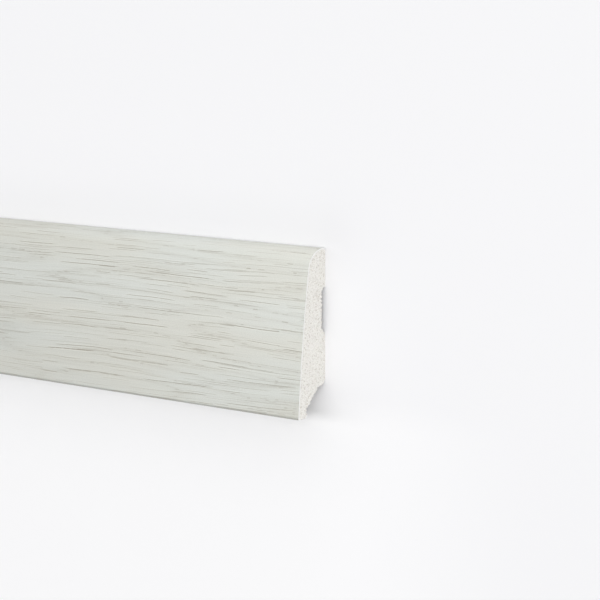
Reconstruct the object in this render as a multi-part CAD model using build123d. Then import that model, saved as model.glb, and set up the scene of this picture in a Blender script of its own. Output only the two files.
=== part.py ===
"""One length of wood-look plastic skirting board, lying flat on its back.

A foamed plastic core is extruded to the moulding's section, and a thin decor
film is wrapped over its front, round the top edge and onto the back corner.
X runs along the board, Y runs from the foot edge up to the top edge, and Z
comes out of the back, so the decor face looks up. All sizes are millimetres.
"""

import os
from math import atan2, cos, degrees, hypot, radians, sin, sqrt

from build123d import *

# Stock size
length = 2400.0
height = 60.0
thickness = 14.6

# Decor film and the face it covers
film_thickness = 0.4
front_radius = 700.0
crown_radius = 8.2
back_corner_radius = 1.15
film_back_angle = 65.0

# Back of the board: two flat pads with a shallow relief between them
upper_pad_width = 12.5
lower_pad_width = 14.8
relief_depth = 2.0
relief_upper_run = 1.6
relief_lower_run = 3.2
relief_edge_radius = 0.8

# Cable gap behind the foot: heel round, short lip, slope and upright
heel_height = 10.8
heel_radius = 3.0
lip_flat = 0.4
slope_edge_radius = 0.5
foot_rise = 3.4
foot_width = 4.3
foot_radius = 1.2


def circle_meeting(first, first_reach, second, second_reach):
    """The lower of the two points at given distances from two other points."""
    along_h = second[0] - first[0]
    along_d = second[1] - first[1]
    apart = hypot(along_h, along_d)
    near = (first_reach**2 - second_reach**2 + apart**2) / (2 * apart)
    off = sqrt(first_reach**2 - near**2)
    return (
        first[0] + (near * along_h + off * along_d) / apart,
        first[1] + (near * along_d - off * along_h) / apart,
    )


def on_circle(centre, radius, angle):
    """A point on a circle, with the angle in degrees from the height axis."""
    return (
        centre[0] + radius * cos(radians(angle)),
        centre[1] + radius * sin(radians(angle)),
    )


# Centres of the three tangent arcs of the covered face, as (height, depth)
corner_centre = (height - back_corner_radius, back_corner_radius)
crown_centre = (height - crown_radius, back_corner_radius)
foot_front = (0.0, thickness)
front_centre = circle_meeting(
    foot_front, front_radius, crown_centre, front_radius - crown_radius
)
shoulder_angle = degrees(
    atan2(crown_centre[1] - front_centre[1], crown_centre[0] - front_centre[0])
)


def foot_depth(inset):
    """Depth of the covered face at the foot, a given inset below its surface."""
    return front_centre[1] + sqrt((front_radius - inset) ** 2 - front_centre[0] ** 2)


def covered_face(inset):
    """The front arc, the crown round and the back corner, moved in by inset."""
    foot_point = (0.0, foot_depth(inset))
    foot_angle = degrees(
        atan2(foot_point[1] - front_centre[1], foot_point[0] - front_centre[0])
    )
    front_middle = (foot_angle + shoulder_angle) / 2
    front_reach = front_radius - inset
    crown_reach = crown_radius - inset
    corner_reach = back_corner_radius - inset
    shoulder = on_circle(crown_centre, crown_reach, shoulder_angle)
    top = on_circle(crown_centre, crown_reach, 0)
    return [
        ThreePointArc(
            foot_point, on_circle(front_centre, front_reach, front_middle), shoulder
        ),
        ThreePointArc(
            shoulder, on_circle(crown_centre, crown_reach, shoulder_angle / 2), top
        ),
        ThreePointArc(
            top,
            on_circle(corner_centre, corner_reach, -film_back_angle / 2),
            on_circle(corner_centre, corner_reach, -film_back_angle),
        ),
    ]


def film_back_edge():
    """The film's square-cut back edge, from the core's side to the outside."""
    return Line(
        on_circle(corner_centre, back_corner_radius - film_thickness, -film_back_angle),
        on_circle(corner_centre, back_corner_radius, -film_back_angle),
    )


def bare_corner():
    """The last stretch of the back corner, where the core shows beside the film."""
    return ThreePointArc(
        on_circle(corner_centre, back_corner_radius, -film_back_angle),
        on_circle(corner_centre, back_corner_radius, -(film_back_angle + 90) / 2),
        on_circle(corner_centre, back_corner_radius, -90),
    )


def back_outline():
    """From the top of the upper pad down over the relief and the cable gap to the foot."""
    pad_top = corner_centre[0]
    relief_top = pad_top - upper_pad_width
    relief_bottom = heel_height + heel_radius + lower_pad_width
    foot_back = thickness - foot_width
    corners = [
        (pad_top, 0),
        (relief_top, 0),
        (relief_top - relief_upper_run, relief_depth),
        (relief_bottom + relief_lower_run, relief_depth),
        (relief_bottom, 0),
        (heel_height, 0),
        (heel_height, heel_radius + lip_flat),
        (foot_rise, foot_back),
        (0, foot_back),
        (0, foot_depth(film_thickness)),
    ]
    radii = (
        [relief_edge_radius] * 4
        + [heel_radius]
        + [slope_edge_radius] * 2
        + [foot_radius]
    )
    return FilletPolyline(*corners, radius=radii)


def along_the_board(outline):
    """Extrudes a section, drawn as (height, depth), over the stock length."""
    section_plane = Plane(
        origin=(-length / 2, -height / 2, 0), x_dir=(0, 1, 0), z_dir=(1, 0, 0)
    )
    return extrude(section_plane * make_face(outline), amount=length)


def foam_core():
    """The foamed core, with a step at its back corner that the film's edge meets."""
    bare_side = [film_back_edge(), bare_corner(), back_outline()]
    return along_the_board(Curve() + covered_face(film_thickness) + bare_side)


def decor_film():
    """The printed film, glued face to face on the core and cut flush at the foot."""
    foot_cut = Line((0, foot_depth(0)), (0, foot_depth(film_thickness)))
    cut_edges = [foot_cut, film_back_edge()]
    return along_the_board(
        Curve() + covered_face(0) + covered_face(film_thickness) + cut_edges
    )


os.makedirs("parts", exist_ok=True)
export_step(foam_core(), "parts/foam_core.step")
export_step(decor_film(), "parts/decor_film.step")
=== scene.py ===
# %% [markdown]
# # A length of wood-look plastic skirting board
#
# This lesson builds the visual model of one 2.4 m length of plastic skirting
# board. It lies on its back with the decor face up. X runs along the board, Y
# from the foot edge to the top edge and Z out of the decor face, in metres.
# The board is two pieces glued for good: a foamed plastic core, and a thin
# printed film wrapped over its front, round the top edge and onto the back.

from math import acos, atan2, cos, pi, radians, sin, sqrt, tan

import bmesh
import bpy
import numpy as np
from mathutils import Matrix, Vector
from mathutils.geometry import delaunay_2d_cdt
from mathutils.kdtree import KDTree


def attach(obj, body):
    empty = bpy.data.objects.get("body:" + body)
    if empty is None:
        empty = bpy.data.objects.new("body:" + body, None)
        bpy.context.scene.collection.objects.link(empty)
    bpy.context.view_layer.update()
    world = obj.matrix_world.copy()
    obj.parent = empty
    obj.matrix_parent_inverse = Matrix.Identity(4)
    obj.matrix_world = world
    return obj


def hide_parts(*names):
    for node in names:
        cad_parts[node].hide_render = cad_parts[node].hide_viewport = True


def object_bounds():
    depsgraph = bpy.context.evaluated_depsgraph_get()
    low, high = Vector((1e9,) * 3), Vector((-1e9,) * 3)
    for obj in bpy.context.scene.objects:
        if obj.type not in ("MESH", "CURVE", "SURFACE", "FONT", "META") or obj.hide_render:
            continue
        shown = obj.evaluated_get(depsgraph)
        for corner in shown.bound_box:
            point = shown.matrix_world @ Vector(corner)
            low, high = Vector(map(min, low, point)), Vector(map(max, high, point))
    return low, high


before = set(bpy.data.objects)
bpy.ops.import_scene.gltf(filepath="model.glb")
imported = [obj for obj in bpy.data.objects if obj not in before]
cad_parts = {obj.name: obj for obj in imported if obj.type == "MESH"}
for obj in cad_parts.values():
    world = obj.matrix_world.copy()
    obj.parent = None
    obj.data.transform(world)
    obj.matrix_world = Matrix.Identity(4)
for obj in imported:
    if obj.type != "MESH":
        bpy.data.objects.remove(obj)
cad_low, cad_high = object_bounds()
length, height, thickness = cad_high - cad_low
print(f"board {length:.3f} x {height:.3f} x {thickness:.3f} m")

# %% [markdown]
# The section is the moulding's die: the shape that the hot plastic is pushed
# through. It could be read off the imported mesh, but drawn anew from the sizes
# that it has in the part it gets clean arcs of any fineness, and the two agree.
# A section point is a pair, the height above the foot and the depth out of the
# back.

# %% Sizes of the section
MM = 0.001
film_thickness = 0.4 * MM
front_radius = 700 * MM
crown_radius = 8.2 * MM
back_corner_radius = 1.15 * MM
film_back_angle = radians(65)
upper_pad_width = 12.5 * MM
lower_pad_width = 14.8 * MM
relief_depth = 2.0 * MM
relief_upper_run = 1.6 * MM
relief_lower_run = 3.2 * MM
relief_edge_radius = 0.8 * MM
heel_height = 10.8 * MM
heel_radius = 3.0 * MM
lip_flat = 0.4 * MM
slope_edge_radius = 0.5 * MM
foot_rise = 3.4 * MM
foot_width = 4.3 * MM
foot_radius = 1.2 * MM

pad_top = height - back_corner_radius
relief_top = pad_top - upper_pad_width
relief_bottom = heel_height + heel_radius + lower_pad_width
foot_back = thickness - foot_width
corner_centre = np.array([pad_top, back_corner_radius])
crown_centre = np.array([height - crown_radius, back_corner_radius])
foot_front = np.array([0, thickness])
print(f"relief from {relief_bottom / MM:.1f} to {relief_top / MM:.1f} mm above the foot")

# %% [markdown]
# The covered face is three arcs that run into one another without a kink: the
# gently bowed front, the round crown and the small back corner. The front's
# centre lies where two circles meet, one round the foot and one round the
# crown's centre, because that is what being tangent to the crown means.

# %% Draw the covered face
def front_arc_centre():
    """The centre of the arc that starts at the foot and runs into the crown."""
    along = crown_centre - foot_front
    apart = np.hypot(*along)
    crown_reach = front_radius - crown_radius
    near = (front_radius**2 - crown_reach**2 + apart**2) / (2 * apart)
    off = sqrt(front_radius**2 - near**2)
    across = np.array([along[1], -along[0]])
    return foot_front + (near * along + off * across) / apart


def arc(centre, radius, start, end, count):
    """Points evenly spaced on an arc."""
    angles = np.linspace(start, end, count + 1)
    return centre + radius * np.column_stack([np.cos(angles), np.sin(angles)])


front_centre = front_arc_centre()
shoulder_angle = atan2(*(crown_centre - front_centre)[::-1])


def covered_face(inset, front_count, crown_count, corner_count):
    """The front, the crown and the back corner, moved in by inset, from the foot on."""
    front_reach = front_radius - inset
    foot_angle = pi - acos(front_centre[0] / front_reach)
    front = arc(front_centre, front_reach, foot_angle, shoulder_angle, front_count)
    crown = arc(crown_centre, crown_radius - inset, shoulder_angle, 0, crown_count)
    corner_reach = back_corner_radius - inset
    corner = arc(corner_centre, corner_reach, 0, -film_back_angle, corner_count)
    return np.vstack([front, crown[1:], corner[1:]])


print("front centre", front_centre, "shoulder", shoulder_angle)

# %% [markdown]
# The bare back is a line through corners, each rounded as a die maker would:
# upper pad, relief, lower pad, heel, the slope of the cable gap, and the foot.
# A bevel could round them too, but arcs that are worked out keep each radius
# true and the points evenly spaced.

# %% Draw the bare back
def straight(start, end, step):
    """Points on a straight line, about a step apart, without the first one."""
    count = max(1, round(np.hypot(*(end - start)) / step))
    return start + np.linspace(0, 1, count + 1)[1:, None] * (end - start)


def rounded(corners, radii, step):
    """A line through corners with the inner ones rounded, as points about a step apart."""
    corners = np.array(corners)
    runs = [corners[:1]]
    here = corners[0]
    for before, corner, after, radius in zip(corners, corners[1:], corners[2:], radii):
        back = (before - corner) / np.hypot(*(before - corner))
        on = (after - corner) / np.hypot(*(after - corner))
        half = acos(back @ on) / 2
        reach = radius / tan(half)
        middle = (back + on) / np.hypot(*(back + on))
        centre = corner + middle * radius / sin(half)
        first = corner + back * reach - centre
        last = corner + on * reach - centre
        start = atan2(first[1], first[0])
        turn = (atan2(last[1], last[0]) - start + pi) % (2 * pi) - pi
        count = max(3, round(abs(turn) * radius / step))
        runs.append(straight(here, centre + first, step))
        runs.append(arc(centre, radius, start, start + turn, count)[1:])
        here = centre + last
    runs.append(straight(here, corners[-1], step))
    return np.vstack(runs)


def bare_back(step):
    """From the film's back edge down over the pads, the relief and the gap to the foot."""
    front_reach = front_radius - film_thickness
    foot_inside = front_centre[1] + sqrt(front_reach**2 - front_centre[0] ** 2)
    corners = [
        (pad_top, 0),
        (relief_top, 0),
        (relief_top - relief_upper_run, relief_depth),
        (relief_bottom + relief_lower_run, relief_depth),
        (relief_bottom, 0),
        (heel_height, 0),
        (heel_height, heel_radius + lip_flat),
        (foot_rise, foot_back),
        (0, foot_back),
        (0, foot_inside),
    ]
    radii = [relief_edge_radius] * 4 + [heel_radius] + [slope_edge_radius] * 2 + [foot_radius]
    corner = arc(corner_centre, back_corner_radius, -film_back_angle, -pi / 2, count=4)
    return np.vstack([corner, rounded(corners, radii, step)[1:]])


print("points on the bare back", len(bare_back(0.2 * MM)))

# %% [markdown]
# Node trees are long to write by hand, so a few helpers add one node each and
# return the socket to carry on from. They serve shader and geometry trees.

# %% Helpers that add a node
def fill(tree, node, inputs):
    """Sets or links a node's inputs, by name or number."""
    for key, value in inputs.items():
        if isinstance(value, bpy.types.NodeSocket):
            tree.links.new(value, node.inputs[key])
        else:
            node.inputs[key].default_value = value


def add(tree, kind, inputs, **settings):
    """Adds a node and gives it its settings and inputs."""
    node = tree.nodes.new(kind)
    for name, value in settings.items():
        setattr(node, name, value)
    fill(tree, node, inputs)
    return node


def calc(tree, operation, *values, clamp=False):
    """One sum on numbers."""
    inputs = dict(enumerate(values))
    return add(tree, "ShaderNodeMath", inputs, operation=operation, use_clamp=clamp).outputs[0]


def times(tree, first, *others):
    """Several numbers multiplied together."""
    for other in others:
        first = calc(tree, "MULTIPLY", first, other)
    return first


def vector_calc(tree, operation, *values):
    """One sum on vectors."""
    node = add(tree, "ShaderNodeVectorMath", dict(enumerate(values)), operation=operation)
    return node.outputs["Vector"]


def scaled(tree, value, factor):
    """A vector or a colour multiplied by a number."""
    inputs = {0: value, "Scale": factor}
    return add(tree, "ShaderNodeVectorMath", inputs, operation="SCALE").outputs["Vector"]


def vector_length(tree, value):
    """How long a vector is."""
    return add(tree, "ShaderNodeVectorMath", {0: value}, operation="LENGTH").outputs["Value"]


def join(tree, x=0.0, y=0.0, z=0.0):
    """A vector from its three numbers."""
    return add(tree, "ShaderNodeCombineXYZ", {0: x, 1: y, 2: z}).outputs[0]


def split(tree, value):
    """The three numbers of a vector."""
    return add(tree, "ShaderNodeSeparateXYZ", {0: value}).outputs


def grey(tree, level):
    """A colour with one level in all three channels."""
    return add(tree, "ShaderNodeCombineColor", {0: level, 1: level, 2: level}).outputs[0]


print("node helpers ready")

# %% [markdown]
# Noise, ranges and mixes come up in every finish, so they have helpers too. The
# last ones make a node group with named sockets and place it in a tree.

# %% Helpers for patterns and groups
def remap(tree, value, low, high, to_low=0.0, to_high=1.0):
    """Carries one range over to another along a soft S curve, and holds at its ends."""
    inputs = {"Value": value, "From Min": low, "From Max": high, "To Min": to_low, "To Max": to_high}
    return add(tree, "ShaderNodeMapRange", inputs, interpolation_type="SMOOTHSTEP").outputs[0]


def noise(tree, place, stretch, detail=2.0, roughness=0.5):
    """Soft noise from 0 to 1 whose blobs are about as wide as the sizes in stretch."""
    cell = vector_calc(tree, "DIVIDE", place, stretch)
    inputs = {"Vector": cell, "Scale": 1.0, "Detail": detail, "Roughness": roughness}
    return add(tree, "ShaderNodeTexNoise", inputs).outputs[0]


def swing(tree, value, amount):
    """Noise from 0 to 1, turned into a swing either side of nought."""
    return times(tree, calc(tree, "SUBTRACT", value, 0.5), amount)


def blend(tree, factor, first, second, mode="MIX"):
    """Mixes two colours."""
    inputs = {0: factor, 6: first, 7: second}
    return add(tree, "ShaderNodeMix", inputs, data_type="RGBA", blend_type=mode).outputs[2]


def new_group(name, kind, inputs, outputs):
    """A node group with named sockets; returns its tree, its input node and its output node."""
    tree = bpy.data.node_groups.new(name, kind)
    for title, socket, value in inputs:
        made = tree.interface.new_socket(title, in_out="INPUT", socket_type=socket)
        if value is not None:
            made.default_value = value
    for title, socket in outputs:
        tree.interface.new_socket(title, in_out="OUTPUT", socket_type=socket)
    return tree, tree.nodes.new("NodeGroupInput").outputs, tree.nodes.new("NodeGroupOutput").inputs


def use(tree, group, inputs):
    """Places a node group in a tree and returns its outputs."""
    node = tree.nodes.new(tree.bl_idname.replace("Tree", "Group"))
    node.node_tree = group
    fill(tree, node, inputs)
    return node.outputs


FLOAT = "NodeSocketFloat"
VECTOR = "NodeSocketVector"
COLOR = "NodeSocketColor"
GEOMETRY = "NodeSocketGeometry"
print("pattern helpers ready")

# %% [markdown]
# Oak shows its pores as short dark dashes along the grain, and the printed film
# copies that. They could come from a picture, but dashes drawn by nodes stay
# sharp from close by and never repeat along the board. One group draws one size
# of dash: the sheet is divided into stretched cells, and each cell holds one thin
# dash or none, of its own length, width and darkness. A second output marks a
# soft band on both sides of each dash, where a pale painted highlight goes.

# %% Group for the pore dashes
dashes, given, result = new_group(
    "pore_dashes",
    "ShaderNodeTree",
    [
        ("Place", VECTOR, None),
        ("Pitch Along", FLOAT, 40.0),
        ("Pitch Across", FLOAT, 3.0),
        ("Width", FLOAT, 0.4),
        ("Share", FLOAT, 0.6),
        ("Seed", FLOAT, 0.0),
    ],
    [("Mask", FLOAT), ("Flank", FLOAT)],
)
pitch = join(dashes, given["Pitch Along"], given["Pitch Across"], 1.0)
cells = vector_calc(dashes, "DIVIDE", given["Place"], pitch)
cells = vector_calc(dashes, "ADD", cells, join(dashes, given["Seed"], given["Seed"]))
voronoi_inputs = {"Vector": cells, "Scale": 1.0, "Randomness": 0.85}
voronoi = add(dashes, "ShaderNodeTexVoronoi", voronoi_inputs, voronoi_dimensions="2D")
offset = vector_calc(dashes, "SUBTRACT", cells, voronoi.outputs["Position"])
offset = split(dashes, vector_calc(dashes, "MULTIPLY", offset, pitch))
chance = add(dashes, "ShaderNodeSeparateColor", {0: voronoi.outputs["Color"]}).outputs

shortest, longest = 0.18, 0.46
thinnest, thickest = 0.42, 0.6
body_end, body_side = (1.0, 0.75), (1.2, 0.5)
flank_end, flank_side = (1.1, 0.8), (5.0, 1.5)
half_length = times(dashes, given["Pitch Along"], remap(dashes, chance[0], 0, 1, shortest, longest))
along = calc(dashes, "ABSOLUTE", calc(dashes, "DIVIDE", offset[0], half_length))
taper = remap(dashes, along, 1.0, 0.5, 0.5, 1.0)
half_width = times(dashes, given["Width"], remap(dashes, chance[1], 0, 1, thinnest, thickest), taper)
across = calc(dashes, "ABSOLUTE", calc(dashes, "DIVIDE", offset[1], half_width))
strength = calc(dashes, "SUBTRACT", given["Share"], chance[2])
strength = calc(dashes, "SQRT", calc(dashes, "DIVIDE", strength, given["Share"], clamp=True))
body = times(dashes, remap(dashes, along, *body_end), remap(dashes, across, *body_side), strength)
# The flank band carries a painted highlight beside the dash.
flank = times(dashes, remap(dashes, along, *flank_end), remap(dashes, across, *flank_side), strength)
dashes.links.new(body, result["Mask"])
dashes.links.new(flank, result["Flank"])
print("pore dashes", len(dashes.nodes), "nodes")

# %% [markdown]
# The print itself is a pale, slightly green grey oak. Its group works in
# millimetres on the unrolled sheet, along the board and round the section from
# the foot, so the grain runs on over the crown without a break. Slow noise bends
# the grain. A wave texture would space the growth rings too evenly, so they are
# the contour lines of a second, stretched noise, which close into long pointed
# arches as they do on a sawn plank.

# %% Oak print: grain and rings
oak, given, result = new_group(
    "oak_print", "ShaderNodeTree", [("Place", VECTOR, None)], [("Color", COLOR), ("Pores", FLOAT)]
)
drift_size, drift_amount = (190, 30, 1), 9.0
wander_size, wander_amount = (26, 7, 1), 1.1
figure_size = (170, 17, 1)
rings_in_figure = 8.0
ring_starts, ring_full = 0.13, 0.02
place = given["Place"]
drift = swing(oak, noise(oak, place, drift_size, detail=1.0), drift_amount)
wander = swing(oak, noise(oak, place, wander_size), wander_amount)
grain = vector_calc(oak, "ADD", place, join(oak, y=calc(oak, "ADD", drift, wander)))
figure = noise(oak, grain, figure_size, detail=1.0, roughness=0.4)
ring = calc(oak, "PINGPONG", times(oak, figure, rings_in_figure), 0.5)
ring_edge = remap(oak, ring, ring_starts, ring_full)
print("grain and rings", len(oak.nodes), "nodes")

# %% [markdown]
# Five sizes of dash lie over one another. They crowd along the rings, and short
# ticks mark where a ring turns across the grain. Each dash has faint pale edges,
# a painted highlight beside the pressed pore. A fine noise breaks the dashes up,
# as the print's dots do.

# %% Oak print: pores
share_on_ring, share_between = 0.70, 0.54
ring_darkness = 0.06
tick_darkness = 0.55
break_size = (2.2, 0.6, 1)
least_left = 0.65
dash_sizes = [
    {"along": 42.0, "across": 4.4, "width": 0.25, "darkness": 0.9, "seed": 3.7},
    {"along": 30.0, "across": 3.6, "width": 0.24, "darkness": 0.75, "seed": 17.3},
    {"along": 22.0, "across": 2.4, "width": 0.23, "darkness": 0.6, "seed": 11.2},
    {"along": 62.0, "across": 1.7, "width": 0.21, "darkness": 0.5, "seed": 41.6},
    {"along": 48.0, "across": 1.3, "width": 0.20, "darkness": 0.42, "seed": 58.1},
]


def lay_dashes(along, across, width, share, seed):
    """One size of dash laid over the whole sheet, sizes in millimetres."""
    sizes = {"Pitch Along": along, "Pitch Across": across, "Width": width}
    return use(oak, dashes, {"Place": grain, "Share": share, "Seed": seed, **sizes})


crowding = remap(oak, ring, 0.05, 0.4, share_on_ring, share_between)
pores = times(oak, ring_edge, ring_darkness)
# Painted highlights: faint pale edges beside the pore dashes.
painted_pore_highlights = 0.0
for size in dash_sizes:
    dash = lay_dashes(size["along"], size["across"], size["width"], crowding, size["seed"])
    pores = calc(oak, "MAXIMUM", pores, times(oak, dash["Mask"], size["darkness"]))
    painted_pore_highlights = calc(oak, "MAXIMUM", painted_pore_highlights, times(oak, dash["Flank"], size["darkness"]))
tick = lay_dashes(along=4.5, across=0.9, width=0.3, share=0.6, seed=23.9)["Mask"]
pores = calc(oak, "MAXIMUM", pores, times(oak, tick, ring_edge, tick_darkness))
breaks = remap(oak, noise(oak, grain, break_size), 0.3, 0.5, least_left, 1.0)
pores = times(oak, pores, breaks)
print("pores in", len(dash_sizes), "sizes and one tick")

# %% [markdown]
# The wood lies between three close colours: light between the rings, darker on
# them, and warm in broad soft patches. Several tones then make it lighter or
# darker: a slow swell along the sheet, the fibres, a painted shade that darkens
# towards the foot and lightens towards the crown, a fine speckle and the painted
# highlights beside the pores. The swell is even by the right-hand end, where it
# is painted light, lighter towards the end in place of the light's fall-off, and
# strays further back, so that it doesn't repeat. At the foot a thin dark line of
# painted shadow runs along the film's edge.

# %% Oak print: colours
light_wood = (0.619, 0.636, 0.598, 1)
dark_wood = (0.596, 0.610, 0.569, 1)
warm_wood = (0.612, 0.598, 0.528, 1)
pore_ink = (0.190, 0.148, 0.098, 1)
patch_size, patch_strength = (90, 16, 1), 0.45
ink_strength = 0.9
warm_patches = remap(oak, noise(oak, place, patch_size, detail=1.0), 0.36, 0.64)
wood = blend(oak, remap(oak, ring, 0.0, 0.4, 1.0, 0.0), light_wood, dark_wood)
wood = blend(oak, times(oak, warm_patches, patch_strength), wood, warm_wood)

# By the right-hand end the swell is painted light: the print grows lighter towards the end, in place
# of the light's fall-off. Further back it strays as a plain tone.
falloff_and_swell_middle, falloff_and_swell_length = 1133.0, 95.0
falloff_and_swell_depth, depth_lost_straying = 0.095, -0.035
even_until, strays_from = 1000.0, 600.0
stray_size, stray_amount = (240, 200, 1), 9.0
along, around, _ = split(oak, place)
straying = remap(oak, along, even_until, strays_from)
stray = swing(oak, noise(oak, place, stray_size, detail=0.0), stray_amount)
falloff_and_swell = calc(oak, "DIVIDE", calc(oak, "SUBTRACT", along, falloff_and_swell_middle), falloff_and_swell_length)
falloff_and_swell = calc(oak, "SINE", calc(oak, "ADD", falloff_and_swell, times(oak, stray, straying)))
falloff_and_swell = times(oak, falloff_and_swell, calc(oak, "MULTIPLY_ADD", straying, depth_lost_straying, falloff_and_swell_depth))

fibre_size, fibre_dark, fibre_light = (44, 0.42, 1), 0.949, 1.029
speckle_size, speckle_depth = (0.6, 0.35, 1), 0.035
face_height, painted_fall_depth = 64.0, 0.03
pore_highlight_gain = 0.095
painted_foot_shadow_level = 0.55
fibre = noise(oak, grain, fibre_size, detail=3.0, roughness=0.65)
speckle = noise(oak, place, speckle_size, detail=0.0)
shade = calc(oak, "ADD", falloff_and_swell, remap(oak, fibre, 0.25, 0.75, fibre_dark, fibre_light))
# Painted shade: darker towards the foot, lighter towards the crown.
shade = calc(oak, "ADD", shade, remap(oak, around, 0.0, face_height, -painted_fall_depth, painted_fall_depth))
shade = calc(oak, "ADD", shade, remap(oak, speckle, 0.2, 0.8, -speckle_depth, speckle_depth))
# Painted highlight: the pale edges beside each pore dash lighten the print.
shade = calc(oak, "MULTIPLY_ADD", painted_pore_highlights, pore_highlight_gain, shade)
# A thin painted shadow line along the foot edge of the print.
shade = times(oak, shade, remap(oak, around, 1.0, 0.2, 1.0, painted_foot_shadow_level))
wood = blend(oak, 1.0, wood, grey(oak, shade), "MULTIPLY")
printed = blend(oak, times(oak, pores, ink_strength), wood, pore_ink)
oak.links.new(printed, result["Color"])
oak.links.new(pores, result["Pores"])
print("oak print", len(oak.nodes), "nodes")

# %% [markdown]
# Plastic is never one flat colour. This small group gives the bare materials a
# soft mottle, so the core's skin, its sawn ends and the film's edge share it.

# %% Group for the mottle of bare plastic
mottle, given, result = new_group(
    "plastic_mottle",
    "ShaderNodeTree",
    [("Place", VECTOR, None), ("Color", COLOR, None), ("Size", FLOAT, 2.0), ("Amount", FLOAT, 0.05)],
    [("Color", COLOR)],
)
cloud_contrast = 4.0
cloud_size = join(mottle, given["Size"], given["Size"], given["Size"])
cloud = noise(mottle, given["Place"], cloud_size, detail=3.0, roughness=0.6)
cloud = swing(mottle, cloud, times(mottle, given["Amount"], cloud_contrast))
level = calc(mottle, "ADD", cloud, 1.0)
mottled = blend(mottle, 1.0, given["Color"], grey(mottle, level), "MULTIPLY")
mottle.links.new(mottled, result["Color"])
print("mottle", len(mottle.nodes), "nodes")

# %% [markdown]
# Four materials: the printed film, the film's pale cut edge, the core's skin as
# it leaves the die, and the sawn foam. Each colour is what the piece shows under
# plain light. The pores are pressed into the film, and the skin has faint lines
# along the board from the die; both are too fine for the mesh and are bump. The
# sawn foam has painted shade in its opened cells, darker by a depth that the mesh carries.

# %% Materials
def new_material(name):
    """An empty node material with a Principled shader; returns it, its tree and the shader."""
    material = bpy.data.materials.new(name)
    material.use_nodes = True
    tree = material.node_tree
    tree.nodes.clear()
    shader = tree.nodes.new("ShaderNodeBsdfPrincipled")
    output = tree.nodes.new("ShaderNodeOutputMaterial")
    tree.links.new(shader.outputs[0], output.inputs["Surface"])
    return material, tree, shader


def millimetres(tree, socket):
    """A place in metres, turned into millimetres."""
    return vector_calc(tree, "MULTIPLY", socket, (1000, 1000, 1000))


def attribute(tree, name):
    """An attribute that the mesh carries."""
    return add(tree, "ShaderNodeAttribute", {}, attribute_name=name)


def press(tree, shader, relief, strength, depth):
    """Bump of a given depth on a shader."""
    inputs = {"Strength": strength, "Distance": depth, "Height": relief}
    bump = add(tree, "ShaderNodeBump", inputs)
    tree.links.new(bump.outputs[0], shader.inputs["Normal"])


def plain_plastic(name, color, size, amount, roughness):
    """A bare plastic with the shared mottle; the size is in millimetres."""
    material, tree, shader = new_material(name)
    where = millimetres(tree, add(tree, "ShaderNodeTexCoord", {}).outputs["Object"])
    inputs = {"Place": where, "Color": color, "Size": size, "Amount": amount}
    mixed = use(tree, mottle, inputs)["Color"]
    tree.links.new(mixed, shader.inputs["Base Color"])
    shader.inputs["Roughness"].default_value = roughness
    return material, tree, shader, where, mixed


film_print, tree, shader = new_material("film_print")
where = millimetres(tree, attribute(tree, "print_place").outputs["Vector"])
print_out = use(tree, oak, {"Place": where})
tree.links.new(print_out["Color"], shader.inputs["Base Color"])
shader.inputs["Roughness"].default_value = 0.46
unpressed = calc(tree, "SUBTRACT", 1.0, print_out["Pores"])
press(tree, shader, unpressed, strength=0.8, depth=0.1 * MM)

edge_white = (0.87, 0.87, 0.855, 1)
film_edge, *_ = plain_plastic("film_edge", edge_white, size=2.0, amount=0.02, roughness=0.5)

skin_white = (0.85, 0.84, 0.805, 1)
die_line_size = (260, 0.5, 0.5)
made = plain_plastic("core_skin", skin_white, size=2.0, amount=0.03, roughness=0.62)
core_skin, tree, shader, where, _ = made
press(tree, shader, noise(tree, where, die_line_size), strength=0.4, depth=0.04 * MM)

foam_white = (0.835, 0.822, 0.782, 1)
# Painted shade in the opened cells: deep cells darken towards this colour.
painted_pit_shade = (0.50, 0.46, 0.40, 1)
pit_shade_strength = 0.6
made = plain_plastic("sawn_foam", foam_white, size=0.32, amount=0.13, roughness=0.85)
sawn_foam, tree, shader, _, mixed = made
pit_shade_amount = remap(tree, attribute(tree, "cell_depth").outputs["Fac"], 0.1, 0.9)
foam_color = blend(tree, times(tree, pit_shade_amount, pit_shade_strength), mixed, painted_pit_shade)
tree.links.new(foam_color, shader.inputs["Base Color"])
print("materials", [m.name for m in (film_print, film_edge, core_skin, sawn_foam)])

# %% [markdown]
# Geometry Nodes trees work on a plain mesh object whose points carry named
# values. The main helper sets a tree's named inputs by their socket identifiers,
# evaluates it once, keeps the result as a plain mesh under the piece's name, and
# drops the object that held the modifier.

# %% Helpers that turn a node tree into a plain mesh
doubles_within = 0.001 * MM


def carry(mesh, name, values, kind="FLOAT", domain="POINT"):
    """Gives a mesh one named value for each point or face."""
    field = "vector" if kind == "FLOAT_VECTOR" else "value"
    mesh.attributes.new(name, kind, domain).data.foreach_set(field, np.ravel(values))


def named(tree, name, data_type="FLOAT"):
    """A value that the geometry carries under a name."""
    return add(tree, "GeometryNodeInputNamedAttribute", {"Name": name}, data_type=data_type).outputs[0]


def grow(name, start, group, inputs):
    """Runs a geometry tree on a starting mesh and returns the finished object."""
    holder = bpy.data.objects.new(name + "_start", start)
    bpy.context.collection.objects.link(holder)
    modifier = holder.modifiers.new("grow", "NODES")
    modifier.node_group = group
    sockets = [item for item in group.interface.items_tree if item.in_out == "INPUT"]
    identifiers = {item.name: item.identifier for item in sockets}
    for title, value in inputs.items():
        modifier[identifiers[title]] = value
    graph = bpy.context.evaluated_depsgraph_get()
    mesh = bpy.data.meshes.new_from_object(holder.evaluated_get(graph))
    bpy.data.objects.remove(holder)
    mesh.name = name
    piece = bpy.data.objects.new(name, mesh)
    bpy.context.collection.objects.link(piece)
    return piece


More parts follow.
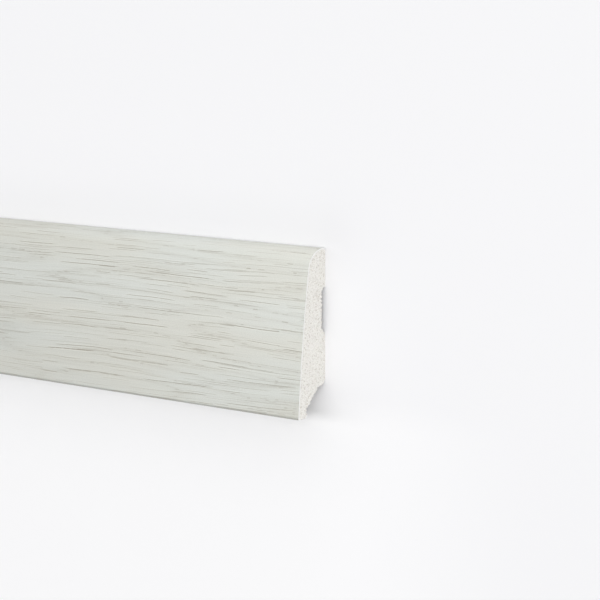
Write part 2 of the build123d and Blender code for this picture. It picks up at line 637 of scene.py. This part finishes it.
def smooth(mesh, sharp_angle):
    """Merges doubles, turns every face outwards, and shades all but the sharp edges smooth."""
    work = bmesh.new()
    work.from_mesh(mesh)
    bmesh.ops.remove_doubles(work, verts=work.verts, dist=doubles_within)
    bmesh.ops.recalc_face_normals(work, faces=work.faces)
    work.to_mesh(mesh)
    work.free()
    mesh.shade_smooth()
    mesh.set_sharp_from_angle(angle=sharp_angle)


print("mesh helpers ready")

# %% [markdown]
# The film is a ribbon as thin as card, swept along the board. Solidify could
# thicken a sheet, but two arcs about one centre keep the thickness true round
# the corner: the closed outline goes out along the covered face and home along
# the same face moved in by the film's thickness. A sweep along X lays a curve's
# x on -Y and its y on -Z, so the outline is drawn with both signs turned round.

# %% Outline of the film
film_counts = {"front_count": 36, "crown_count": 28, "corner_count": 8}
outside = covered_face(0, **film_counts)
inside = covered_face(film_thickness, **film_counts)
steps = np.hypot(*np.diff(outside, axis=0).T)
unrolled = np.concatenate([[0], np.cumsum(steps)])
film_width = unrolled[-1]
loop = np.vstack([outside, inside[::-1]])
film_outline = bpy.data.meshes.new("film_outline")
loop_points = [(height / 2 - h, -d, 0) for h, d in loop]
loop_edges = [(i, (i + 1) % len(loop)) for i in range(len(loop))]
film_outline.from_pydata(loop_points, loop_edges, [])
carry(film_outline, "around", np.concatenate([unrolled, unrolled[::-1]]))
carry(film_outline, "outer", np.repeat([1.0, 0.0], len(outside)))
print(f"film outline {len(loop)} points, {film_width / MM:.1f} mm round the outside")

# %% [markdown]
# The tree turns the outline into a curve and sweeps it along a straight rail. It
# writes down where each point lies on the unrolled print. Every face gets the
# edge material, and then those on the outside get the print.

# %% Tree that sweeps the film
sweep, given, result = new_group(
    "sweep_film",
    "GeometryNodeTree",
    [
        ("Outline", GEOMETRY, None),
        ("Length", FLOAT, 1.0),
        ("Stations", "NodeSocketInt", 2),
        ("Print", "NodeSocketMaterial", None),
        ("Edge", "NodeSocketMaterial", None),
    ],
    [("Geometry", GEOMETRY)],
)
half = times(sweep, given["Length"], 0.5)
rail_ends = {"Start": join(sweep, times(sweep, half, -1.0)), "End": join(sweep, half)}
rail = add(sweep, "GeometryNodeCurvePrimitiveLine", rail_ends)
rail = add(sweep, "GeometryNodeResampleCurve", {"Curve": rail.outputs[0], "Count": given["Stations"]})
profile = add(sweep, "GeometryNodeMeshToCurve", {"Mesh": given["Outline"]})
ribbon = add(
    sweep,
    "GeometryNodeCurveToMesh",
    {"Curve": rail.outputs[0], "Profile Curve": profile.outputs[0], "Fill Caps": True},
)
position = add(sweep, "GeometryNodeInputPosition", {}).outputs[0]
where = join(sweep, split(sweep, position)[0], named(sweep, "around"))
marked = add(
    sweep,
    "GeometryNodeStoreNamedAttribute",
    {"Geometry": ribbon.outputs[0], "Name": "print_place", "Value": where},
    data_type="FLOAT_VECTOR",
)
realized = add(sweep, "GeometryNodeRealizeInstances", {"Geometry": marked.outputs[0]})
edged = add(
    sweep,
    "GeometryNodeSetMaterial",
    {"Geometry": realized.outputs[0], "Material": given["Edge"]},
)
outer_face = add(sweep, "GeometryNodeFieldOnDomain", {0: named(sweep, "outer")}, domain="FACE")
faced = calc(sweep, "GREATER_THAN", outer_face.outputs[0], 0.99)
covered = add(
    sweep,
    "GeometryNodeSetMaterial",
    {"Geometry": edged.outputs[0], "Selection": faced, "Material": given["Print"]},
)
sweep.links.new(covered.outputs[0], result["Geometry"])
print("film sweep", len(sweep.nodes), "nodes")

# %% [markdown]
# The rail has a station every 5 cm, which keeps the faces from growing too long.

# %% Sweep the film
film_stations = 49
film = grow(
    "decor_film_visual",
    film_outline,
    sweep,
    {"Length": length, "Stations": film_stations, "Print": film_print, "Edge": film_edge},
)
smooth(film.data, sharp_angle=radians(35))
print("film", len(film.data.polygons), "faces", [m.name for m in film.data.materials])

# %% [markdown]
# A board this long and narrow fills a square picture badly, so on its square
# sheet the film is cut into three rows of 0.8 m, one above another: the printed
# face tall, the glued face and the two cut edges in thin strips beside it. The
# cut ends lie flat in a last strip at the top.

# %% Lay the film out on a square sheet
row_count = 3
rows_tall = 0.96
row_length = length / row_count
row_height = rows_tall / row_count
strips = {
    "printed": {"start": 0.01, "tall": 0.79},
    "glued": {"start": 0.83, "tall": 0.07},
    "foot cut": {"start": 0.925, "tall": 0.015},
    "back cut": {"start": 0.96, "tall": 0.015},
}
ends_start, ends_tall = 0.97, 0.02
end_left, end_width, end_apart = 0.02, 0.4, 0.5
margin = 0.002
film_mesh = film.data
film_uv = film_mesh.uv_layers.new(name="OFBake").uv
film_place = film_mesh.attributes["print_place"].data
film_outer = film_mesh.attributes["outer"].data


def strip_of(face):
    """Which strip a face along the board lies in."""
    outer_share = np.mean([film_outer[v].value for v in face.vertices])
    if outer_share > 0.99:
        return "printed"
    if outer_share < 0.01:
        return "glued"
    at_foot = film_place[face.vertices[0]].vector.y < film_width / 2
    return "foot cut" if at_foot else "back cut"


for face in film_mesh.polygons:
    strip = strip_of(face)
    row = int((face.center.x + length / 2) / row_length)
    for corner in face.loop_indices:
        vertex = film_mesh.loops[corner].vertex_index
        x, y, z = film_mesh.vertices[vertex].co
        if abs(face.normal.x) > 0.5:
            u = end_left + end_width * (y / height + 0.5) + (end_apart if x > 0 else 0)
            v = ends_start + ends_tall * z / thickness
        else:
            if strip in ("printed", "glued"):
                across = film_place[vertex].vector.y / film_width
            else:
                across = film_outer[vertex].value
            u = (x + length / 2) / row_length - row
            v = (row + strips[strip]["start"] + strips[strip]["tall"] * across) * row_height
        film_uv[corner].vector = (margin + (1 - 2 * margin) * u, v)
print("film laid out in", row_count, "rows of", round(row_length, 3), "m")

# %% [markdown]
# The core could be swept as the film is, but its ends have to show the saw's
# work, so it is put together point by point. Its outline is a ring of points a
# fifth of a millimetre apart, with the way out of the section at each.

# %% Ring of the core's section
ring_step = 0.2 * MM
inner_face = covered_face(film_thickness, front_count=265, crown_count=58, corner_count=5)
ring = np.vstack([inner_face, bare_back(ring_step)[:-1]])
ring_count = len(ring)
ahead = np.roll(ring, -1, axis=0)
behind = np.roll(ring, 1, axis=0)
tangent = ahead - behind
outward = np.column_stack([-tangent[:, 1], tangent[:, 0]])
outward /= np.hypot(*outward.T)[:, None]


def inside_ring(points):
    """True for each point that lies inside the ring, by counting the edges above it."""
    found = np.zeros(len(points), bool)
    for (h0, d0), (h1, d1) in zip(ring, ahead):
        spans = (points[:, 0] < h0) != (points[:, 0] < h1)
        if h0 != h1:
            level = d0 + (points[:, 0] - h0) * (d1 - d0) / (h1 - h0)
            found ^= spans & (points[:, 1] < level)
    return found


nearest = KDTree(ring_count)
for index, point in enumerate(ring):
    nearest.insert((*point, 0), index)
nearest.balance()
print("ring", ring_count, "points")

# %% [markdown]
# Each end is a sheet of small triangles that later take the shape of the opened
# foam cells. A triangular grid, shaken a little so that no rows show, fills the
# ring up to just inside its edge. Each grid point knows the nearest ring point
# and how far off it is.

# %% Sheet of the core's ends
rng = np.random.default_rng(7)
pitch = 0.145 * MM
row_spacing = 0.866
shake = 0.2
clear_of_ring = 0.6
rows = np.arange(0, thickness, pitch * row_spacing)
columns = np.arange(0, height, pitch)
grid = np.array([(h + (k % 2) * pitch / 2, d) for k, d in enumerate(rows) for h in columns])
grid += rng.uniform(-shake, shake, grid.shape) * pitch
grid = grid[inside_ring(grid)]
near = [nearest.find((*point, 0)) for point in grid]
apart = np.array([n[2] for n in near])
edge_of = np.array([n[1] for n in near])
keep = apart > clear_of_ring * pitch
grid, apart, edge_of = grid[keep], apart[keep], edge_of[keep]
flat = np.vstack([ring, grid])
edges = [(i, (i + 1) % ring_count) for i in range(ring_count)]
points, _, triangles, *_ = delaunay_2d_cdt([Vector(p) for p in flat], edges, [], 1, 1e-9)
assert len(points) == len(flat)
print("end sheet", len(triangles), "triangles")

# %% [markdown]
# The mesh is put together from rings along the board and the two end sheets. A
# few rings close to each end let the torn edge fade out into the smooth side.

# %% Plain mesh of the core
from_end = np.array([0, 0.3, 0.8, 1.6]) * MM
stations = np.concatenate([-length / 2 + from_end, (length / 2 - from_end)[::-1]])
section_yz = np.column_stack([flat[:, 0] - height / 2, flat[:, 1]])
ring_yz = section_yz[:ring_count]
grid_yz = section_yz[ring_count:]


def at_x(x, yz):
    """Points of the section placed at one x."""
    return np.column_stack([np.full(len(yz), x), yz])


core_points = [at_x(x, ring_yz) for x in stations]
core_points += [at_x(-length / 2, grid_yz), at_x(length / 2, grid_yz)]
first_grid = ring_count * len(stations)
core_faces = []
for k in range(len(stations) - 1):
    for i in range(ring_count):
        j = (i + 1) % ring_count
        a, b = k * ring_count, (k + 1) * ring_count
        core_faces.append((a + i, a + j, b + j, b + i))
side_count = len(core_faces)
for end in (0, 1):
    ring_start = end * (len(stations) - 1) * ring_count
    grid_start = first_grid + end * len(grid) - ring_count
    for triangle in triangles:
        core_faces.append(tuple(v + (ring_start if v < ring_count else grid_start) for v in triangle))

core_start = bpy.data.meshes.new("core_start")
core_start.from_pydata(np.vstack(core_points), [], core_faces)
carry(core_start, "sawn", np.arange(len(core_faces)) >= side_count, "BOOLEAN", "FACE")
print("core start", len(core_start.vertices), "points", len(core_faces), "faces")

# %% [markdown]
# Each point carries five values for the tree that follows: how strongly a torn
# edge moves it, how close it lies to the rim, how far round the ring it is, which
# end it lies on, and which way is out of the section. The saw tears the bare
# back, most of all in the relief and the gap, where the foam stands free. The
# film holds the front together.

# %% Values for the saw's work
slack = 0.02 * MM
tear_reach = 0.8 * MM
rim_reach = 0.5 * MM
pad_tear = 0.4
fade = np.array([1.0, 0.7, 0.3, 0.0])
relief_part = (ring[:, 1] > slack) & (ring[:, 0] > relief_bottom) & (ring[:, 0] < relief_top)
gap_part = (ring[:, 0] < heel_height + slack) & (ring[:, 1] > heel_radius / 2)
bare = np.arange(ring_count) >= len(inner_face)
torn = bare * np.where(relief_part | gap_part, 1.0, pad_tear)
for _ in range(4):
    torn = (np.roll(torn, 1) + torn + np.roll(torn, -1)) / 3
sheet_tear = torn[edge_of] * np.clip(1 - apart / tear_reach, 0, 1)
sheet_rim = np.clip(1 - apart / rim_reach, 0, 1)
run = np.concatenate([[0], np.cumsum(np.hypot(*(ahead - ring).T))])


def on_all(ring_values, sheet_values):
    """Values for every ring, then for both sheets."""
    return np.concatenate([ring_values] * len(stations) + [sheet_values] * 2)


tear = [torn * f for f in np.concatenate([fade, fade[::-1]])]
carry(core_start, "tear", np.concatenate(tear + [sheet_tear] * 2))
carry(core_start, "rim", on_all(np.ones(ring_count), sheet_rim))
carry(core_start, "run", on_all(run[:-1], run[edge_of]))
out_yz = on_all(outward, outward[edge_of])
carry(core_start, "out", np.column_stack([np.zeros(len(out_yz)), out_yz]), "FLOAT_VECTOR")
end_of = np.zeros(len(core_start.vertices))
end_of[:ring_count] = -1
end_of[first_grid - ring_count : first_grid] = 1
end_of[first_grid : first_grid + len(grid)] = -1
end_of[first_grid + len(grid) :] = 1
carry(core_start, "end_of", end_of)
print("values carried", [a.name for a in core_start.attributes if not a.is_internal])

# %% [markdown]
# On a square sheet, the two sawn ends lie flat in the lower half
# and the sides fill the upper half, with the short stretches at both ends drawn
# wider than they are.

# %% Lay the core out on a square sheet
sheet_uv = np.column_stack([section_yz[:, 0] / height + 0.5, section_yz[:, 1] / height])
sawn_low, sawn_apart = 0.005, 0.25
side_low, side_tall = 0.505, 0.49
side_u = np.array([0, 0.02, 0.04, 0.06, 0.94, 0.96, 0.98, 1])
core_margin = 0.005
around_v = side_low + side_tall * run / run[-1]
bake_uv = []
for left, right in zip(side_u, side_u[1:]):
    for low, high in zip(around_v, around_v[1:]):
        bake_uv += [(left, low), (left, high), (right, high), (right, low)]
for end in (0, 1):
    for triangle in triangles:
        bake_uv += [(sheet_uv[v][0], sheet_uv[v][1] + sawn_low + sawn_apart * end) for v in triangle]
bake_uv = np.array(bake_uv) * (1 - 2 * core_margin) + core_margin
core_start.uv_layers.new(name="OFBake").uv.foreach_set("vector", bake_uv.ravel())
print("core laid out with", len(bake_uv), "corners")

# %% [markdown]
# Sawing opens the foam's cells. Bump could stand for them, but it leaves the
# outline of the end smooth, so the points themselves move. The tree scatters the
# cells with cell noise: some leave a deep pit, others only a dimple, and a finer
# grain roughens the walls between them. Points move only inwards from the end,
# so the board keeps its length.

# %% Tree that opens the foam cells at the ends
saw, given, result = new_group(
    "saw_ends",
    "GeometryNodeTree",
    [
        ("Geometry", GEOMETRY, None),
        ("Cell Size", FLOAT, 0.001),
        ("Cell Depth", FLOAT, 0.0003),
        ("Grain Size", FLOAT, 0.0004),
        ("Grain Depth", FLOAT, 0.0001),
        ("Tear Depth", FLOAT, 0.0004),
        ("Tooth Pitch", FLOAT, 0.001),
        ("Seed", FLOAT, 0.0),
        ("Low", VECTOR, None),
        ("High", VECTOR, None),
        ("Skin", "NodeSocketMaterial", None),
        ("Sawn", "NodeSocketMaterial", None),
    ],
    [("Geometry", GEOMETRY)],
)
ends_differ_by = 0.4
least_reach, most_reach = 0.3, 0.52
shallowest_pit = 0.15
calm_at_rim = 0.6
position = add(saw, "GeometryNodeInputPosition", {}).outputs[0]
side = calc(saw, "SIGN", split(saw, position)[0])
shift = join(saw, given["Seed"], times(saw, side, ends_differ_by))
where = vector_calc(saw, "ADD", vector_calc(saw, "MULTIPLY", position, (0.0, 1.0, 1.0)), shift)


def cell_noise(size):
    """Cell noise with cells of one size; returns the distance to the middle and three chances."""
    inputs = {"Vector": where, "Scale": calc(saw, "DIVIDE", 1.0, size)}
    outputs = add(saw, "ShaderNodeTexVoronoi", inputs).outputs
    return outputs["Distance"], split(saw, outputs["Color"])


distance, chance = cell_noise(given["Cell Size"])
reach = remap(saw, chance[0], 0.0, 1.0, least_reach, most_reach)
pit = remap(saw, calc(saw, "DIVIDE", distance, reach), 1.0, 0.45)
pit = times(saw, pit, remap(saw, chance[1], 0.1, 1.0, shallowest_pit, 1.0))
fine, _ = cell_noise(given["Grain Size"])
fine = remap(saw, fine, 0.1, 0.8)
depth = calc(saw, "MULTIPLY_ADD", fine, given["Grain Depth"], times(saw, pit, given["Cell Depth"]))
depth = times(saw, depth, calc(saw, "MULTIPLY_ADD", named(saw, "rim"), -calm_at_rim, 1.0))
inward = join(saw, times(saw, depth, times(saw, named(saw, "end_of"), -1.0)))
print("foam cells", len(saw.nodes), "nodes")

# %% [markdown]
# The same tree now tears the edge: a wave with the pitch of the saw's teeth, made
# uneven by noise, moves it in and out of the section, and never out of the part's
# box. The tree also notes how deep each point of the foam looks, for the painted
# shade in its colour.

# %% The torn edge, in the same tree
uneven_size = (1.2 * MM, 1.2 * MM, 1.2 * MM)
tooth_sway = 9.0
least_tooth, most_tooth = 0.25, 0.75
tear_inwards = 0.05
grain_shade_share, pit_shade_share = 0.45, 0.6
uneven = noise(saw, where, uneven_size, detail=1.0)
tooth_turn = calc(saw, "DIVIDE", given["Tooth Pitch"], 2 * pi)
phase = calc(saw, "DIVIDE", named(saw, "run"), tooth_turn)
teeth = calc(saw, "SINE", calc(saw, "MULTIPLY_ADD", uneven, tooth_sway, phase))
teeth = times(saw, teeth, remap(saw, uneven, 0.3, 0.7, least_tooth, most_tooth))
teeth = calc(saw, "SUBTRACT", teeth, tear_inwards)
ragged = times(saw, teeth, named(saw, "tear"), given["Tear Depth"])
sideways = scaled(saw, named(saw, "out", "FLOAT_VECTOR"), ragged)
moved_to = vector_calc(saw, "ADD", position, vector_calc(saw, "ADD", inward, sideways))
moved_to = vector_calc(saw, "MAXIMUM", moved_to, given["Low"])
moved_to = vector_calc(saw, "MINIMUM", moved_to, given["High"])
moved = add(saw, "GeometryNodeSetPosition", {"Geometry": given["Geometry"], "Position": moved_to})
# The foam's colour takes painted shade from this depth.
shade_depth = calc(saw, "MULTIPLY_ADD", fine, grain_shade_share, times(saw, pit, pit_shade_share))
kept = add(
    saw,
    "GeometryNodeStoreNamedAttribute",
    {"Geometry": moved.outputs[0], "Name": "cell_depth", "Value": shade_depth},
)
realized = add(saw, "GeometryNodeRealizeInstances", {"Geometry": kept.outputs[0]})
skinned = add(
    saw,
    "GeometryNodeSetMaterial",
    {"Geometry": realized.outputs[0], "Material": given["Skin"]},
)
sawn_face = named(saw, "sawn", "BOOLEAN")
finished = add(
    saw,
    "GeometryNodeSetMaterial",
    {"Geometry": skinned.outputs[0], "Selection": sawn_face, "Material": given["Sawn"]},
)
saw.links.new(finished.outputs[0], result["Geometry"])
print("saw tree", len(saw.nodes), "nodes")

# %% [markdown]
# Foam of this kind has cells under a millimetre wide, so the sawn end looks finely
# grained from a step away and pitted from close by.

# %% Saw the core
core = grow(
    "foam_core_visual",
    core_start,
    saw,
    {
        "Cell Size": 0.7 * MM,
        "Cell Depth": 0.2 * MM,
        "Grain Size": 0.55 * MM,
        "Grain Depth": 0.15 * MM,
        "Tear Depth": 0.55 * MM,
        "Tooth Pitch": 1.5 * MM,
        "Seed": 0.31,
        "Low": cad_low,
        "High": cad_high,
        "Skin": core_skin,
        "Sawn": sawn_foam,
    },
)
smooth(core.data, sharp_angle=radians(50))
print("core", len(core.data.polygons), "faces", [m.name for m in core.data.materials])

# %% [markdown]
# Each piece stands for its part of the imported frame: it joins the frame's body, and the part itself
# is hidden.

# %% Join the pieces to the frame
for piece, node in ((film, "decor_film"), (core, "foam_core")):
    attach(piece, "root")
    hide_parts(node)
print("pieces", film.name, core.name)

# %% [markdown]
# The camera looks down on the board's right-hand end, half along it and half
# across it, with a long lens from about 0.85 m.

# %% Camera
yaw = radians(40.935)
pitch_down = radians(7.484)
camera_place = (1.74387, 0.12174, 0.64083)
right = Vector((cos(yaw), 0, -sin(yaw)))
look = Vector((-sin(yaw) * cos(pitch_down), -sin(pitch_down), -cos(yaw) * cos(pitch_down)))
up = right.cross(look)
camera_data = bpy.data.cameras.new("camera")
camera_data.sensor_width = 36
camera_data.lens = 143.41
camera = bpy.data.objects.new("camera", camera_data)
turn = Matrix((right, up, -look)).transposed().to_4x4()
camera.matrix_world = Matrix.Translation(camera_place) @ turn
bpy.context.collection.objects.link(camera)
bpy.context.scene.camera = camera
bpy.context.scene.view_settings.view_transform = "Standard"
print("camera at", camera_place)

# %% [markdown]
# A pale floor takes the board's soft shadow. In front of the foot its colour is
# a little lighter, painted light that softens the board's shadow there. Close to
# the board it is a little darker, painted shade, most of all along the top edge,
# where the crown throws light back on it. Far from the board it turns into a
# plain pale ground for the rays that a picture shows, so every view ends in the
# same tone.

# %% Floor
def pale_for(tree):
    """One for the rays that should meet a plain pale background, else nought."""
    rays = add(tree, "ShaderNodeLightPath", {}).outputs
    mirrored = calc(tree, "MAXIMUM", rays["Is Glossy Ray"], rays["Is Transmission Ray"])
    return calc(tree, "MAXIMUM", rays["Is Camera Ray"], mirrored)


floor_radius = 30
floor_mesh = bpy.data.meshes.new("studio_floor")
work = bmesh.new()
bmesh.ops.create_circle(work, cap_ends=True, segments=96, radius=floor_radius)
work.to_mesh(floor_mesh)
work.free()
floor = bpy.data.objects.new("studio_floor", floor_mesh)
bpy.context.collection.objects.link(floor)

floor_tone = (0.925, 0.925, 0.94, 1)
# Painted light: the floor is lighter in front of the foot, where the board's shadow falls.
painted_light_tone = (0.975, 0.975, 0.985, 1)
painted_light_from, painted_light_until = -height / 2 - 4 * MM, -height / 2 + 10 * MM
painted_light_past_end = 0.1
# Painted shade: the floor is darker close to the board, most of all along its top edge.
painted_top_shade_level, painted_top_shade_reach = 0.91, (-15 * MM, 22 * MM)
painted_board_shade_level, painted_board_shade_reach = 0.955, (-20 * MM, 40 * MM)
ground_tone, ground_level = (0.99, 0.99, 1, 1), 0.955
ground_reach = (0.2, 0.9)

floor_paint, tree, shader = new_material("floor_paint")
shader.inputs["Roughness"].default_value = 0.9
where = add(tree, "ShaderNodeTexCoord", {}).outputs["Object"]
half_box = (length / 2, height / 2, 0)
beyond = vector_calc(tree, "SUBTRACT", vector_calc(tree, "ABSOLUTE", where), half_box)
beyond = vector_calc(tree, "MAXIMUM", beyond, (0, 0, 0))
past_end = split(tree, beyond)[0]
floor_y = split(tree, where)[1]
painted_light_below_foot = remap(tree, floor_y, painted_light_from, painted_light_until, 1.0, 0.0)
painted_light_below_foot = times(tree, painted_light_below_foot, remap(tree, past_end, 0.0, painted_light_past_end, 1.0, 0.0))
floor_color = blend(tree, painted_light_below_foot, floor_tone, painted_light_tone)
from_top = join(tree, past_end, calc(tree, "SUBTRACT", floor_y, height / 2))
painted_top_shade = remap(tree, vector_length(tree, from_top), *painted_top_shade_reach, painted_top_shade_level, 1.0)
away = vector_length(tree, beyond)
painted_floor_shade = times(tree, painted_top_shade, remap(tree, away, *painted_board_shade_reach, painted_board_shade_level, 1.0))
tree.links.new(scaled(tree, floor_color, painted_floor_shade), shader.inputs["Base Color"])
far_off = times(tree, remap(tree, away, *ground_reach), pale_for(tree))
ground = add(tree, "ShaderNodeEmission", {"Color": ground_tone, "Strength": ground_level})
joined = add(tree, "ShaderNodeMixShader", {0: far_off, 1: shader.outputs[0], 2: ground.outputs[0]})
tree.links.new(joined.outputs[0], tree.nodes["Material Output"].inputs["Surface"])
floor_mesh.materials.append(floor_paint)
print("floor ready")

# %% [markdown]
# Three soft lamps light the board so that a colour renders about as it is
# written: a key over the right-hand end, which draws the shadows of the relief
# and the gap, a long strip over the whole board, and a low lamp on the crown's
# side. The sky is brighter towards the right-hand end and the top edge.

# %% Lamps and sky
def soft_lamp(name, place, aim, width, depth, power):
    """A soft rectangular lamp that faces a point."""
    lamp_data = bpy.data.lights.new(name, "AREA")
    lamp_data.shape = "RECTANGLE"
    lamp_data.size = width
    lamp_data.size_y = depth
    lamp_data.energy = power
    lamp = bpy.data.objects.new(name, lamp_data)
    lamp.location = place
    lamp.rotation_euler = (Vector(aim) - Vector(place)).to_track_quat("-Z", "Y").to_euler()
    bpy.context.collection.objects.link(lamp)


soft_lamp("key_lamp", (2.3, 0.14, 1.65), (1.1, 0, 0), width=1.2, depth=0.5, power=10)
soft_lamp("strip_lamp", (-0.1, 0.1, 1.9), (-0.1, 0, 0), width=4.4, depth=0.5, power=20.8)
soft_lamp("top_lamp", (0.6, 2.3, 0.25), (0.6, 0, 0), width=2.4, depth=0.3, power=8)

world = bpy.data.worlds.new("studio_sky")
bpy.context.scene.world = world
world.use_nodes = True
tree = world.node_tree
tree.nodes.clear()
sky_lean = (0.41, 0.3, 0)
sky_level = 0.49
pale_level = 0.95
direction = add(tree, "ShaderNodeTexCoord", {}).outputs["Generated"]
lean = add(tree, "ShaderNodeVectorMath", {0: direction, 1: sky_lean}, operation="DOT_PRODUCT")
sky_light = calc(tree, "ADD", lean.outputs["Value"], sky_level)
sky_light = calc(tree, "MAXIMUM", sky_light, 0.0)
strength = add(tree, "ShaderNodeMix", {0: pale_for(tree), 2: sky_light, 3: pale_level}).outputs[0]
sky = add(tree, "ShaderNodeBackground", {"Color": (1, 1, 1, 1), "Strength": strength})
add(tree, "ShaderNodeOutputWorld", {"Surface": sky.outputs[0]})
print("lamps and sky ready")
